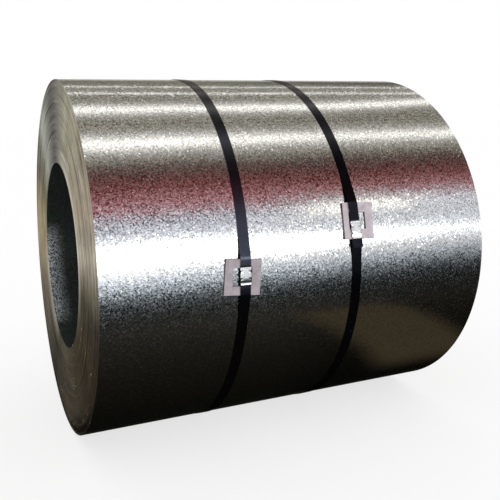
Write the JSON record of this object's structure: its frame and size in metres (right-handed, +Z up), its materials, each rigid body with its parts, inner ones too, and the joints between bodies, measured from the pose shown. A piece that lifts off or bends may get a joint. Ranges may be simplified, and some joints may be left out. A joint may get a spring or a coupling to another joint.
{
  "type": "steel coil",
  "caption": "Galvanised steel strip wound into a coil with an open bore, lying on its side, held by black steel straps with notched seals over flat pads with a window.",
  "frame": {"origin": "middle of the coil's footprint, on the floor that it lies on", "axes": "+X along the bore, to the right of the strap joints; -Y faces the strap joints; +Z up"},
  "size_m": [1.2516, 1.1628, 1.1533],
  "materials": {
    "galvanised_strip": "spangled zinc, semi-bright",
    "black_strap": "satin",
    "zinc_seal": "satin",
    "grey_pad": "matte"
  },
  "bodies": {
    "root": {"coil": "galvanised_strip", "strap_left": "black_strap", "strap_right": "black_strap", "seal_left": "zinc_seal", "seal_right": "zinc_seal", "pad_left": "grey_pad", "pad_right": "grey_pad"}
  },
  "joints": []
}
